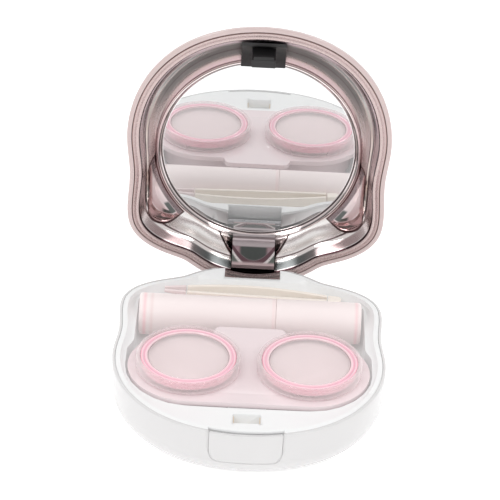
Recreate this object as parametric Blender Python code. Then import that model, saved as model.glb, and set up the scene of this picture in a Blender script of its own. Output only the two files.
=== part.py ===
"""Contact lens travel case: a clam-shell compact with a mirror in its lid, and the lens kit that it carries.

Sizes are in millimetres and become metres when a mesh is made. +Z is up, -Y is the front with the push button,
and the origin is the centre of the flat underside. The lid is drawn shut, then swung open about the hinge pin.
"""
import math

import bmesh
import bpy
import numpy as np
from mathutils import Matrix, Vector

for old in list(bpy.data.objects):
    bpy.data.objects.remove(old, do_unlink=True)

MM = 0.001
GAP = 0.3                    # clearance left between neighbouring pieces

# ---- driving dimensions -------------------------------------------------------------------------
RIM_Z = 14.2                 # height of the base, floor to rim
LID_Z = RIM_Z + GAP          # plane of the lid's rim when shut
LID_RISE = 16.4              # lid shoulder height above its rim
LID_OPEN = 91.0              # degrees that the lid stands open
HINGE_Y, HINGE_Z = 38.8, 9.7
LIP = 1.6                    # shell's outer edge beyond the inner outline
MIRROR_Y, MIRROR_R = 3.8, 28.0
MIRROR_DEPTH = 12.9          # glass face behind the lid's rim plane
SLOT_HALF = 8.0              # hinge slot half width
BUTTON_HALF, BUTTON_LOW = 9.8, 4.9
HOOK_Y = -32.8               # centre of the latch hook, lid shut
WELL_X, WELL_Y = 16.6, -10.3
CAP_R = 14.4
BOTTLE_Y, BOTTLE_Z, BOTTLE_R = 19.2, 10.9, 5.9
BOTTLE_LEFT, BOTTLE_JOIN, BOTTLE_RIGHT = -31.6, 7.0, 31.2
SAMPLES = 4                  # points per span of the outline

# Guide points of the right half of the plan outline, front to hinge: round bow, slight waist, ear, hinge hump.
OUTLINE_GUIDES = [(0, -42), (21.5, -36.5), (34, -22), (37.2, -5), (34, 6.5),
                  (37.3, 24.5), (26.2, 31.4), (18.8, 32.9), (14.5, 37.6), (0, 41.8)]
# Corners of the tray's pocket with their fillet radii, right half, front to back.
POCKET_CORNERS = [(33.9, -27.5, 17.0), (33.9, -2.0, 3.0), (32.2, 3.0, 3.0), (32.2, 25.9, 1.6)]


# ---- plan curves --------------------------------------------------------------------------------
def plan_outline(offset=0.0):
    """The case's outline as a closed uniform cubic B-spline. A positive offset moves it out along its normals,
    a negative one moves it in along spokes from the mirror's centre, which keeps the tight hump free of loops."""
    right = np.array(OUTLINE_GUIDES, float)
    guides = np.vstack([right, right[1:-1][::-1] * (-1, 1)])
    count = len(guides)
    points = []
    for span in range(count):
        p0, p1, p2, p3 = (guides[(span + k - 1) % count] for k in range(4))
        for step in range(SAMPLES):
            t = step / SAMPLES
            point = ((1 - t)**3 * p0 + (3 * t**3 - 6 * t**2 + 4) * p1
                     + (-3 * t**3 + 3 * t**2 + 3 * t + 1) * p2 + t**3 * p3) / 6
            slope = (-(1 - t)**2 * p0 + (3 * t**2 - 4 * t) * p1 + (-3 * t**2 + 2 * t + 1) * p2 + t**2 * p3) / 2
            outward = np.array((slope[1], -slope[0])) if offset > 0 else point - (0, MIRROR_Y)
            points.append(point + offset * outward / np.linalg.norm(outward))
    return np.array(points)


def circle_like(outline, centre_y, radius):
    """Points of a circle that lie in the same directions from its centre as the outline's points."""
    centre = np.array((0, centre_y))
    spokes = outline - centre
    return centre + radius * spokes / np.linalg.norm(spokes, axis=1)[:, None]


def rounded_polygon(corners, arc_steps=6):
    """A closed polygon whose corners (x, y, radius) are rounded by tangent arcs."""
    points = []
    count = len(corners)
    for index, (x, y, radius) in enumerate(corners):
        here = np.array((x, y), float)
        back = np.array(corners[index - 1][:2]) - here
        ahead = np.array(corners[(index + 1) % count][:2]) - here
        back, ahead = back / np.linalg.norm(back), ahead / np.linalg.norm(ahead)
        half = math.acos(max(-1.0, min(1.0, float(back @ ahead)))) / 2
        bisector = (back + ahead) / np.linalg.norm(back + ahead)
        centre = here + bisector * radius / math.sin(half)
        start = here + back * radius / math.tan(half) - centre
        end = here + ahead * radius / math.tan(half) - centre
        a0, a1 = math.atan2(start[1], start[0]), math.atan2(end[1], end[0])
        turn = (a1 - a0 + math.pi) % (2 * math.pi) - math.pi
        for step in range(arc_steps + 1):
            angle = a0 + turn * step / arc_steps
            points.append(centre + radius * np.array((math.cos(angle), math.sin(angle))))
    return np.array(points)


def pocket_outline(offset=0.0):
    """The pocket for the lens case and the bottle, with one point in the direction of each outline point."""
    corner_points = rounded_polygon(POCKET_CORNERS + [(-x, y, r) for x, y, r in reversed(POCKET_CORNERS)])
    shares = np.linspace(0, 1, 60, endpoint=False)[:, None]
    edge = np.vstack([blend(a, b, shares) for a, b in zip(corner_points, np.roll(corner_points, -1, axis=0))])
    angles = np.arctan2(edge[:, 1], edge[:, 0])
    order = np.argsort(angles)
    radii = np.linalg.norm(edge, axis=1)[order]
    outline = plan_outline()
    wanted = np.arctan2(outline[:, 1], outline[:, 0])
    radius = np.interp(wanted, angles[order], radii, period=2 * math.pi) + offset
    return np.stack([radius * np.cos(wanted), radius * np.sin(wanted)], axis=1)


def level(points, height):
    """Lifts plan points to a height, one number or one per point."""
    heights = np.broadcast_to(height, len(points))
    return np.column_stack([points, heights])


def blend(a, b, share):
    return a + (b - a) * share


# ---- solids -------------------------------------------------------------------------------------
def finish_mesh(name, bm, material, smooth_angle=35):
    """Turns a bmesh in millimetres into a named object with its own material."""
    bmesh.ops.recalc_face_normals(bm, faces=bm.faces)
    bmesh.ops.scale(bm, vec=(MM, MM, MM), verts=bm.verts)
    mesh = bpy.data.meshes.new(name)
    bm.to_mesh(mesh)
    bm.free()
    obj = bpy.data.objects.new(name, mesh)
    bpy.context.scene.collection.objects.link(obj)
    if material:
        mesh.materials.append(material)
    mesh.shade_smooth()
    mesh.set_sharp_from_angle(angle=math.radians(smooth_angle))
    return obj


def loft(name, loops, material, ring=False):
    """A solid through closed loops of equal length. The end loops are capped, or joined if it is a ring."""
    bm = bmesh.new()
    rows = [[bm.verts.new(point) for point in loop] for loop in loops]
    count = len(rows[0])
    pairs = list(zip(rows, rows[1:])) + ([(rows[-1], rows[0])] if ring else [])
    for lower, upper in pairs:
        for k in range(count):
            bm.faces.new((lower[k], lower[(k + 1) % count], upper[(k + 1) % count], upper[k]))
    if not ring:
        bm.faces.new(rows[0])
        bm.faces.new(rows[-1])
    return finish_mesh(name, bm, material)


def turned(name, profile, material, segments=32, place=Matrix()):
    """A solid of revolution about local Z. The closed profile holds (radius, height) pairs."""
    bm = bmesh.new()
    rows = []
    for radius, height in profile:
        if radius == 0:
            rows.append([bm.verts.new((0, 0, height))])
        else:
            angles = [2 * math.pi * k / segments for k in range(segments)]
            rows.append([bm.verts.new((radius * math.cos(a), radius * math.sin(a), height)) for a in angles])
    for lower, upper in zip(rows, rows[1:] + rows[:1]):
        for k in range(segments):
            corners = [lower[k % len(lower)], lower[(k + 1) % len(lower)],
                       upper[(k + 1) % len(upper)], upper[k % len(upper)]]
            distinct = list(dict.fromkeys(corners))
            if len(distinct) > 2:
                bm.faces.new(distinct)
    bmesh.ops.transform(bm, matrix=place, verts=bm.verts)
    return finish_mesh(name, bm, material)


def prism(name, outline, low, high, material=None, place=Matrix()):
    """A plan polygon extruded along local Z from low to high."""
    bm = bmesh.new()
    base = [bm.verts.new((x, y, low)) for x, y in outline]
    top = [bm.verts.new((x, y, high)) for x, y in outline]
    bm.faces.new(base)
    bm.faces.new(top)
    for k in range(len(base)):
        bm.faces.new((base[k], base[(k + 1) % len(base)], top[(k + 1) % len(base)], top[k]))
    bmesh.ops.transform(bm, matrix=place, verts=bm.verts)
    return finish_mesh(name, bm, material)


def block(name, low, high, material=None):
    """An axis-aligned box between two corners."""
    (x0, y0, z0), (x1, y1, z1) = low, high
    return prism(name, [(x0, y0), (x1, y0), (x1, y1), (x0, y1)], z0, z1, material)


def along_x(name, side, half_width, material=None):
    """A (y, z) side view extruded to both sides of the middle plane."""
    axes = Matrix(((0, 0, 1, 0), (1, 0, 0, 0), (0, 1, 0, 0), (0, 0, 0, 1)))
    return prism(name, side, -half_width, half_width, material, axes)


def combine(obj, other, operation):
    """Joins, cuts or intersects obj with a tool object, and removes the tool."""
    modifier = obj.modifiers.new(operation.lower(), 'BOOLEAN')
    modifier.operation = operation
    modifier.solver = 'EXACT'
    modifier.object = other
    bpy.context.view_layer.update()
    result = bpy.data.meshes.new_from_object(obj.evaluated_get(bpy.context.evaluated_depsgraph_get()))
    obj.modifiers.clear()
    bm = bmesh.new()
    bm.from_mesh(result)
    bmesh.ops.remove_doubles(bm, verts=bm.verts, dist=0.004 * MM)
    bm.to_mesh(result)
    bm.free()
    used = obj.data
    obj.data = result
    result.name = obj.name
    bpy.data.meshes.remove(used)
    bpy.data.objects.remove(other, do_unlink=True)
    return obj


def cut(obj, *tools):
    for tool in tools:
        combine(obj, tool, 'DIFFERENCE')
    return obj


def add(obj, *tools):
    for tool in tools:
        combine(obj, tool, 'UNION')
    return obj


def on_pivot(objects, pivot, origin):
    """Moves each object's origin to a joint's axis, in mm, and parents it to the pivot empty there."""
    shift = Vector(origin) * MM
    for obj in objects:
        obj.data.transform(Matrix.Translation(-shift))
        obj.parent = pivot


def empty(name, place, parent=None):
    pivot = bpy.data.objects.new(name, None)
    pivot.location = Vector(place) * MM
    pivot.parent = parent
    bpy.context.scene.collection.objects.link(pivot)
    return pivot


def paint(name, color, roughness, metallic=0.0, alpha=1.0):
    """A Principled material."""
    material = bpy.data.materials.new(name)
    material.use_nodes = True
    shader = material.node_tree.nodes['Principled BSDF']
    shader.inputs['Base Color'].default_value = (*color, 1)
    shader.inputs['Roughness'].default_value = roughness
    shader.inputs['Metallic'].default_value = metallic
    shader.inputs['Alpha'].default_value = alpha
    return material


WHITE = paint('white_gloss', (0.88, 0.87, 0.87), 0.15)
TRAY_WHITE = paint('tray_white', (0.82, 0.82, 0.82), 0.3)
PEARL = paint('pearl_pink', (0.86, 0.74, 0.71), 0.12)
ROSE_CHROME = paint('rose_chrome', (0.62, 0.54, 0.55), 0.08, metallic=1)
DARK_CHROME = paint('dark_chrome', (0.03, 0.03, 0.03), 0.15, metallic=0.5)
GLASS = paint('mirror_glass', (0.92, 0.93, 0.93), 0.02, metallic=1)
FOAM = paint('foam_pad', (0.1, 0.1, 0.1), 0.9)
STEEL = paint('steel', (0.6, 0.6, 0.62), 0.25, metallic=1)
PINK = paint('pink_plastic', (0.92, 0.5, 0.6), 0.25)
CLEAR = paint('clear_plastic', (0.93, 0.88, 0.89), 0.1, alpha=0.4)
CASE_PINK = paint('case_pink', (0.93, 0.84, 0.86), 0.2, alpha=0.6)
FROSTED = paint('frosted_pink', (0.85, 0.78, 0.78), 0.45, alpha=0.7)
SILICONE = paint('silicone', (0.93, 0.8, 0.8), 0.6)
IVORY = paint('ivory_plastic', (0.93, 0.85, 0.72), 0.35)


# ---- base ---------------------------------------------------------------------------------------
LEDGE_Z = 12.8               # rebate that carries the tray's flange
FLANGE = 1.1                 # tray flange thickness
TRAY_WALL = 1.2
TRAY_FLOOR = 3.3
SHELF_Z = 10.4               # rear shelf for the tweezers
SHELF_BACK = 35.0            # where the shelf's rear wall meets the rim, in front of the hinge


def base_outer_loops():
    """Outside of the base, from the flat underside up to the rim: near vertical wall, rounded lower edge."""
    loops = []
    for turn in (0, 18, 36, 54, 72, 90):
        angle = math.radians(turn)
        inset = 5.5 * (1 - math.sin(angle))
        loops.append(level(plan_outline(LIP - inset), 6.5 * (1 - math.cos(angle))))
    loops.append(level(plan_outline(LIP), RIM_Z - 0.5))
    loops.append(level(plan_outline(LIP - 0.3), RIM_Z))
    return loops


def make_base_shell():
    floor = 1.5
    inner = [level(plan_outline(0.8), RIM_Z), level(plan_outline(0.8), LEDGE_Z),
             level(plan_outline(0.1), LEDGE_Z), level(plan_outline(0.1), 6.5),
             level(plan_outline(-2.0), 2.8), level(plan_outline(-4.6), floor)]
    shell = loft('base_shell', base_outer_loops() + inner, WHITE)
    # Hinge housing inside the hump, with its slot and the pin's bore.
    housing = along_x('housing', [(36.4, 1.0), (45, 1.0), (45, 12.4), (37.8, 12.2), (36.4, 10.9)], 12)
    combine(housing, loft('body', base_outer_loops(), WHITE), 'INTERSECT')
    slot = block('slot', (-SLOT_HALF, 35.9, 6.6), (SLOT_HALF, 46, 20))
    bore = turned('bore', [(0, -12.6), (1.1, -12.6), (1.1, 12.6), (0, 12.6)], None, 16, hinge_axis_matrix())
    # Notch in the front wall for the button, rounded at its lower corners.
    notch = button_prism('notch', GAP, -46, -37.6)
    # The rear edge is rounded about the hinge axis so that the lid's rim can swing past it.
    swing = block('swing', (-18, HINGE_Y, HINGE_Z + 1), (18, 46, 20))
    cut(swing, turned('roller', [(0, -20), (4.45, -20), (4.45, 20), (0, 20)], None, 64, hinge_axis_matrix()))
    return cut(add(shell, housing), slot, bore, notch, swing)


def hinge_axis_matrix():
    return Matrix.Translation((0, HINGE_Y, HINGE_Z)) @ Matrix.Rotation(math.radians(90), 4, 'Y')


def button_prism(name, grow, front, back, top=RIM_Z + 3):
    """The button's front view, rounded at its lower corners, extruded from front to back along Y."""
    half, low = BUTTON_HALF + grow, BUTTON_LOW - grow
    view = rounded_polygon([(-half, top, 0.2), (-half, low, 3.0), (half, low, 3.0), (half, top, 0.2)], 4)
    turn = Matrix.Rotation(math.radians(90), 4, 'X')
    return prism(name, view, -back, -front, None, turn)


def dish_loops(drop=0.0):
    """The tray's dish, from the pocket's edge out to the level band, lowered by drop for its underside."""
    band = plan_outline(-0.7)
    band *= np.minimum(1.0, SHELF_BACK / np.maximum(band[:, 1], 1.0))[:, None]
    edge = pocket_outline()
    run = np.linalg.norm(band - edge, axis=1)
    side = np.clip((edge[:, 1] + 24) / 20, 0, 1)
    rear = np.clip((edge[:, 1] - 10) / 14, 0, 1)
    front_fall = blend(1.4, 2.6, side) * (1 - np.exp(-run / 3.0))
    fall = blend(front_fall, (RIM_Z - SHELF_Z) * (1 - np.exp(-run / 0.9)), rear)
    loops = []
    for share in (0.0, 0.3, 0.55, 0.78):
        rise = blend(share ** 1.6, share ** 7, rear)
        loops.append(level(blend(edge, band, share), RIM_Z - fall * (1 - rise) - drop))
    return loops


def make_base_tray():
    pocket_wall = pocket_outline(TRAY_WALL)
    flange_low = RIM_Z - FLANGE
    under = dish_loops(TRAY_WALL)
    under_edge = np.column_stack([pocket_wall, np.minimum(under[0][:, 2], flange_low - 0.5)])
    top = [level(pocket_outline(-3.5), TRAY_FLOOR), level(pocket_outline(-1.2), TRAY_FLOOR + 0.8),
           level(pocket_outline(), TRAY_FLOOR + 3.0)]
    top += dish_loops()
    top += [level(plan_outline(-0.7), RIM_Z), level(plan_outline(0.5), RIM_Z)]
    top += [level(plan_outline(0.5), flange_low)]
    bottom = [level(plan_outline(-0.9), flange_low)]
    bottom += [np.column_stack([blend(pocket_wall, plan_outline(-0.9), share),
                                np.minimum(loop[:, 2], flange_low - 0.2)])
               for share, loop in zip((0.66, 0.33), (under[2], under[1]))]
    bottom += [under_edge, level(pocket_wall, TRAY_FLOOR + 2.8), level(pocket_outline(-0.4), TRAY_FLOOR + 0.2),
               level(pocket_outline(-2.8), TRAY_FLOOR - TRAY_WALL)]
    tray = loft('base_tray', top + bottom, TRAY_WHITE)
    # Well for the latch hook, open towards the button.
    well = along_x('well', [(-36.2, 5.6), (-29.5, 5.6), (-29.5, 12.5), (-36.2, 12.9)], 4.7)
    well_hole = block('well_hole', (-3.7, -35.3, 6.6), (3.7, -30.5, 20))
    window = block('window', (-3.6, -38, 6.9), (3.6, -34, 9.4))
    hinge_slot = block('hinge_slot', (-SLOT_HALF, 35.9, 5), (SLOT_HALF, 46, 20))
    housing_room = block('housing_room', (-12.3, 36.1, 1), (12.3, 46, 12.8))
    # Two short ribs carry the bottle's belly.
    ribs = [block('rib', (x - 1, BOTTLE_Y - 2.5, TRAY_FLOOR - 0.6), (x + 1, BOTTLE_Y + 2.5, 4.7))
            for x in (-20, 20)]
    button_room = cut(block('button_room', (-BUTTON_HALF - GAP, -46, 10), (BUTTON_HALF + GAP, -30, 20)),
                      prism('kept', plan_outline(-0.3), 0, 30))
    return cut(add(tray, well, *ribs), well_hole, window, hinge_slot, housing_room, button_room)


def make_button():
    body = loft('release_button', base_outer_loops(), WHITE)
    combine(body, button_prism('face', 0.0, -46, -34, RIM_Z - 0.2), 'INTERSECT')
    hollow = prism('hollow', plan_outline(-0.4), -5, 12.4)
    return cut(body, hollow, prism('lip_back', plan_outline(0.75), 12.0, 20))


def make_pusher():
    """Pink finger on the button's back, which presses the latch hook free."""
    return block('button_pusher', (-3.2, -39.3, 7.3), (3.2, -35.6, 9.0), PINK)


def make_button_spring():
    """A bowed steel leaf behind the button."""
    steps = 8
    front = [(-7.5 + 15 * k / steps, -38.9 + 1.6 * (2 * k / steps - 1) ** 2) for k in range(steps + 1)]
    back = [(x, y + 0.25) for x, y in reversed(front)]
    return prism('button_spring', front + back, 9.5, 10.9, STEEL)


make_base_shell()
make_base_tray()
button_parts = [make_button(), make_pusher()]
make_button_spring()
turned('hinge_pin', [(0, -11.8), (0.8, -11.8), (0.8, 11.8), (0, 11.8)], STEEL, 16, hinge_axis_matrix())


# ---- lid, drawn shut ----------------------------------------------------------------------------
CROWN_R = 30.5               # round shoulder above the mirror
SHELL_WALL = 1.3
PANEL_WALL = 0.9
FLANGE_IN = 2.2              # chrome flange, seam to its inner edge
SEAT_R = 29.3                # outer edge of the bezel round the glass
BEZEL_Z = LID_Z + MIRROR_DEPTH - 0.9
STRAP_HALF = 6.3


def round_loop(radius, height):
    return level(circle_like(plan_outline(), MIRROR_Y, radius), height)


def shell_skin(inset, steps=7):
    """The lid's wall from near its rim to the round shoulder, a quarter ellipse moved in along its normal."""
    loops = []
    for step in range(steps + 1):
        share = step / steps
        angle = share * math.pi / 2
        aside, down = inset * math.cos(angle), inset * math.sin(angle)
        rim, crown = plan_outline(1.45 - aside), circle_like(plan_outline(), MIRROR_Y, CROWN_R - aside)
        loops.append(level(blend(rim, crown, share), LID_Z + 1.0 - down + (LID_RISE - 1.0) * math.sin(angle)))
    return loops


def make_lid_shell():
    outer = [level(plan_outline(1.2), LID_Z), level(plan_outline(1.45), LID_Z + 0.35)] + shell_skin(0)
    outer += [round_loop(24.0, LID_Z + LID_RISE + 0.4), round_loop(12.0, LID_Z + LID_RISE + 0.8)]
    inner = [round_loop(12.0, LID_Z + LID_RISE - 0.5), round_loop(24.0, LID_Z + LID_RISE - 0.9)]
    inner += shell_skin(SHELL_WALL)[::-1] + [level(plan_outline(0.15), LID_Z)]
    return loft('lid_shell', outer[::-1] + inner[::-1], PEARL)


def panel_skin(inset, steps=6):
    """The concave chrome channel from the flange to the bezel, moved out along its normal by inset."""
    loops = []
    for step in range(steps + 1):
        share = step / steps
        angle = share * math.pi / 2
        aside, down = inset * math.cos(angle), inset * math.sin(angle)
        start = plan_outline(-FLANGE_IN + aside)
        end = circle_like(start, MIRROR_Y, SEAT_R + aside)
        loops.append(level(blend(start, end, share), LID_Z + down + (BEZEL_Z - LID_Z) * math.sin(angle) ** 0.9))
    return loops


def make_lid_panel():
    face = [level(plan_outline(-0.3), LID_Z)] + panel_skin(0.0)
    seat = [round_loop(MIRROR_R + GAP, BEZEL_Z), round_loop(MIRROR_R + GAP, BEZEL_Z + 2.3),
            round_loop(MIRROR_R - 1.2, BEZEL_Z + 2.3), round_loop(MIRROR_R - 1.2, BEZEL_Z + 3.0),
            round_loop(SEAT_R, BEZEL_Z + 3.0)]
    back = panel_skin(PANEL_WALL)[::-1] + [level(plan_outline(-0.3), LID_Z + PANEL_WALL)]
    return loft('lid_inner_panel', face + seat + back, ROSE_CHROME, ring=True)


def channel_point(sign, share, lift):
    """(y, z) in front of the channel at a strap's edge, on the latch side (-1) or on the hinge side (1)."""
    edge = plan_outline(-FLANGE_IN)
    half = edge[(edge[:, 1] * sign > 20)]
    half = half[np.argsort(half[:, 0])]
    start = float(np.interp(STRAP_HALF, half[:, 0], half[:, 1]))
    end = MIRROR_Y + sign * math.sqrt(SEAT_R ** 2 - STRAP_HALF ** 2)
    angle = share * math.pi / 2
    y = blend(start, end, share) - sign * lift * math.cos(angle)
    return y, LID_Z + (BEZEL_Z - LID_Z) * math.sin(angle) ** 0.9 - lift * math.sin(angle)


def channel_strap(sign, near, far):
    """Side view of a strap that follows the channel at two distances, with a foot over the bezel."""
    shares = (0.03, 0.15, 0.3, 0.5, 0.7, 0.88, 1.0)
    low = [channel_point(sign, share, far) for share in shares]
    high = [channel_point(sign, share, near) for share in reversed(shares)]
    foot_y = MIRROR_Y + sign * (MIRROR_R - 0.1)
    return low + [(foot_y, BEZEL_Z - far), (foot_y, BEZEL_Z - near)] + high


def make_hinge_arm():
    strap = channel_strap(1, 0.45, 1.6)
    arm = along_x('hinge_arm', strap, 6.2, ROSE_CHROME)
    leg = along_x('leg', [(36.5, HINGE_Z), (38.2, HINGE_Z), (strap[-1][0], LID_Z + 1.2), (36.0, LID_Z + 2.0)], 6.2)
    place = hinge_axis_matrix()
    knuckle = turned('knuckle', [(0, -7.6), (2.5, -7.6), (2.5, 7.6), (0, 7.6)], None, 24, place)
    bore = turned('bore', [(0, -9), (1.1, -9), (1.1, 9), (0, 9)], None, 16, place)
    return cut(add(arm, leg, knuckle), bore)


def make_latch_hook():
    """Dark plate up the front of the channel, and the hook that drops into the tray's well."""
    plate = along_x('latch_hook', channel_strap(-1, 0.45, 1.5), 6.3, DARK_CHROME)
    post = along_x('post', [(-33.9, 10.0), (-31.6, 10.0), (-31.6, 22.0), (-33.9, 18.5)], 3.3)
    barb = along_x('barb', [(-34.6, 10.6), (-33.5, 10.0), (-33.5, 12.2), (-34.6, 11.8)], 2.8)
    return add(plate, post, barb)


def make_glass_and_pad():
    glass_place = Matrix.Translation((0, MIRROR_Y, LID_Z + MIRROR_DEPTH))
    glass = turned('mirror_glass', [(0, 0), (MIRROR_R - 0.4, 0), (MIRROR_R, 0.4), (MIRROR_R, 1.1), (0, 1.1)],
                   GLASS, 48, glass_place)
    pad = turned('mirror_pad', [(0, 1.4), (MIRROR_R - 1.6, 1.4), (MIRROR_R - 1.6, 2.0), (0, 2.0)],
                 FOAM, 40, glass_place)
    return [glass, pad]


lid_pieces = [make_lid_shell(), make_lid_panel(), make_hinge_arm(), make_latch_hook()] + make_glass_and_pad()
lid_pivot = empty('lid_pivot', (0, HINGE_Y, HINGE_Z))
on_pivot(lid_pieces, lid_pivot, (0, HINGE_Y, HINGE_Z))
lid_pivot.rotation_euler.x = -math.radians(LID_OPEN)


# ---- lens case ----------------------------------------------------------------------------------
CUP_R, CUP_LOW, PLATE_LOW, PLATE_TOP, NECK_R, NECK_TOP = 13.2, 3.7, 12.6, 14.0, 11.8, 15.1
SKIRT_LOW, CAP_TOP = 14.3, 17.9


def make_lens_case():
    half = [(WELL_X + 16.6 * math.sin(a), WELL_Y - 16.6 * math.cos(a)) for a in np.linspace(0, math.pi, 25)]
    plate = prism('lens_case_body', half + [(-x, y) for x, y in reversed(half)], PLATE_LOW, PLATE_TOP, CASE_PINK)
    tongue = rounded_polygon([(-12, 0, 1), (12, 0, 1), (9.5, 9.6, 2), (-9.5, 9.6, 2)], 4)
    add(plate, prism('tongue', tongue, PLATE_LOW, PLATE_TOP))
    cup = [(0, CUP_LOW), (CUP_R - 2.5, CUP_LOW), (CUP_R - 0.7, CUP_LOW + 0.7), (CUP_R, CUP_LOW + 2.5),
           (CUP_R, PLATE_LOW + 0.7), (NECK_R, PLATE_LOW + 0.8), (NECK_R, NECK_TOP), (10.6, NECK_TOP),
           (10.6, CUP_LOW + 5.0), (9.6, CUP_LOW + 3.0), (6.0, CUP_LOW + 1.5), (0, CUP_LOW + 1.3)]
    places = [Matrix.Translation((x, WELL_Y, 0)) for x in (-WELL_X, WELL_X)]
    cut(plate, *[turned('opening', [(0, 0), (11.2, 0), (11.2, 30), (0, 30)], None, 40, at) for at in places])
    return add(plate, *[turned('cup', cup, None, 40, at) for at in places])


def make_cap(side, x):
    """Screw cap with its inlaid pink ring and its sealing disc, each turned about the cap's own axis."""
    place = Matrix.Translation((x, WELL_Y, 0))
    inside = NECK_TOP + 1.1
    shell = turned(side + '_cap_shell', [
        (0, inside), (12.3, inside), (12.3, SKIRT_LOW), (CAP_R - 0.2, SKIRT_LOW), (CAP_R, SKIRT_LOW + 0.2),
        (CAP_R, CAP_TOP - 0.7), (CAP_R - 0.3, CAP_TOP - 0.2), (13.6, CAP_TOP), (13.25, CAP_TOP - 0.25),
        (13.2, 16.8), (11.0, 16.8), (11.0, 17.1), (10.7, 17.25), (0, 17.25)], CLEAR, 48, place)
    ring = turned(side + '_cap_ring', [(11.3, 17.05), (12.9, 17.05), (12.9, 17.4), (12.75, 17.5),
                                       (11.45, 17.5), (11.3, 17.4)], PINK, 48, place)
    seal = turned(side + '_cap_seal', [(0, NECK_TOP + 0.3), (11.7, NECK_TOP + 0.3), (11.7, NECK_TOP + 0.8),
                                       (0, NECK_TOP + 0.8)], SILICONE, 32, place)
    pivot = empty(side + '_cap_pivot', (x, WELL_Y, 0))
    on_pivot([shell, ring, seal], pivot, (x, WELL_Y, 0))


make_lens_case()
make_cap('left', -WELL_X)
make_cap('right', WELL_X)


# ---- bottle -------------------------------------------------------------------------------------
def bottle_piece(name, profile, material, segments=36):
    """A piece turned about the bottle's axis. The profile holds (radius, x) pairs."""
    place = Matrix.Translation((0, BOTTLE_Y, BOTTLE_Z)) @ Matrix.Rotation(math.radians(90), 4, 'Y')
    return turned(name, profile, material, segments, place)


def make_bottle():
    r, wall, left, join = BOTTLE_R, 0.9, BOTTLE_LEFT, BOTTLE_JOIN
    bottle_piece('bottle_body', [
        (0, left + 0.3), (r - 1.3, left), (r - 0.5, left + 0.3), (r, left + 1.5), (r, join - 0.3), (r - 0.2, join),
        (4.2, join), (4.2, join + 6), (3.2, join + 6), (3.2, join - 1), (r - wall, join - 1.6),
        (r - wall, left + 2.1), (r - 2.2, left + 1.2), (0, left + 1.4)], FROSTED)
    bottle_piece('bottle_nozzle', [
        (0.6, join + 2), (2.9, join + 2), (2.9, join + 6.3), (4.2, join + 6.3), (4.2, join + 7.1), (2.2, join + 7.5),
        (1.3, join + 19), (0.6, join + 19.4)], SILICONE, 24)
    cap = bottle_piece('bottle_cap', [
        (0, BOTTLE_RIGHT), (r - 1.3, BOTTLE_RIGHT), (r - 0.5, BOTTLE_RIGHT - 0.5), (r, BOTTLE_RIGHT - 1.7),
        (r, join + 0.5), (r - 0.2, join + 0.3), (4.6, join + 0.3), (4.6, join + 8.6), (3.4, join + 10),
        (3.4, join + 21.5), (0, join + 21.5)], FROSTED)
    liner = bottle_piece('bottle_cap_liner', [(0, join + 20.2), (3.1, join + 20.2), (3.1, join + 21.1),
                                              (0, join + 21.1)], SILICONE, 24)
    axis = (BOTTLE_JOIN, BOTTLE_Y, BOTTLE_Z)
    on_pivot([cap, liner], empty('bottle_cap_pivot', axis), axis)


make_bottle()


# ---- tweezers -----------------------------------------------------------------------------------
TWEEZER_TIP, TWEEZER_BOW = Vector((-25.0, 27.9)), Vector((25.0, 26.2))
TWEEZER_TOP, ARM_THICK = 13.9, 1.0


def tweezer_arm(name, bow, start, end, material, steps=14):
    """An arm standing on edge: a bowed strip between two shares of the chord, tapered in height to its tip."""
    chord = TWEEZER_BOW - TWEEZER_TIP
    normal = np.array((-chord.y, chord.x)) / chord.length
    loops = []
    for step in range(steps + 1):
        share = blend(start, end, step / steps)
        centre = np.array(TWEEZER_TIP) + np.array(chord) * share
        lean = 1.3 - 0.1 * share if bow > 0 else -0.3
        centre = centre + normal * (bow * math.sin(math.pi * share) + lean)
        taper = min(1.0, share / 0.3)
        half = ARM_THICK / 2 * blend(0.7, 1.0, taper)
        low = TWEEZER_TOP - blend(0.9, 2.9, taper)
        near, far = centre - normal * half, centre + normal * half
        loops.append(np.array([(*near, low), (*far, low), (*far, TWEEZER_TOP), (*near, TWEEZER_TOP)]))
    return loft(name, loops, material)


def make_tweezers():
    front = tweezer_arm('tweezer_front_arm', -0.25, 0.13, 0.93, IVORY)
    rear = tweezer_arm('tweezer_rear_arm', 3.0, 0.13, 0.93, IVORY)
    front_tip = tweezer_arm('tweezer_front_tip', -0.25, 0.0, 0.123, SILICONE, 3)
    rear_tip = tweezer_arm('tweezer_rear_tip', 3.0, 0.0, 0.123, SILICONE, 3)
    chord = TWEEZER_BOW - TWEEZER_TIP
    at = TWEEZER_TIP + chord * 0.936
    along = chord.normalized()
    across = Vector((-along.y, along.x))
    view = rounded_polygon([(0, -0.8, 0.3), (3.8, -0.6, 1.2), (3.8, 2.0, 1.2), (0, 2.3, 0.4)], 4)
    outline = [at + along * x + across * y for x, y in view]
    prism('tweezer_block', outline, TWEEZER_TOP - 2.9, TWEEZER_TOP, IVORY)
    for name, pieces, y in (('front', [front, front_tip], -0.3), ('rear', [rear, rear_tip], 1.4)):
        place = at + across * y
        pivot = empty('tweezer_' + name + '_pivot', (place.x, place.y, TWEEZER_TOP))
        on_pivot(pieces, pivot, (place.x, place.y, TWEEZER_TOP))


make_tweezers()
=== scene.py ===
"""Looks of the contact lens travel case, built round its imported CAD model.

The housing, the lid, the lens case, the bottle and the tweezers are rebuilt here as fine meshes from the
same driving sizes as the CAD, and small inner pieces keep their CAD shape. Sizes are in millimetres and
become metres when a mesh is made. +Z is up, -Y is the front. The lid is drawn shut, then swung open about
the hinge pin.
"""
import math

import bmesh
import bpy
import numpy as np
from mathutils import Matrix, Vector


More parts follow.
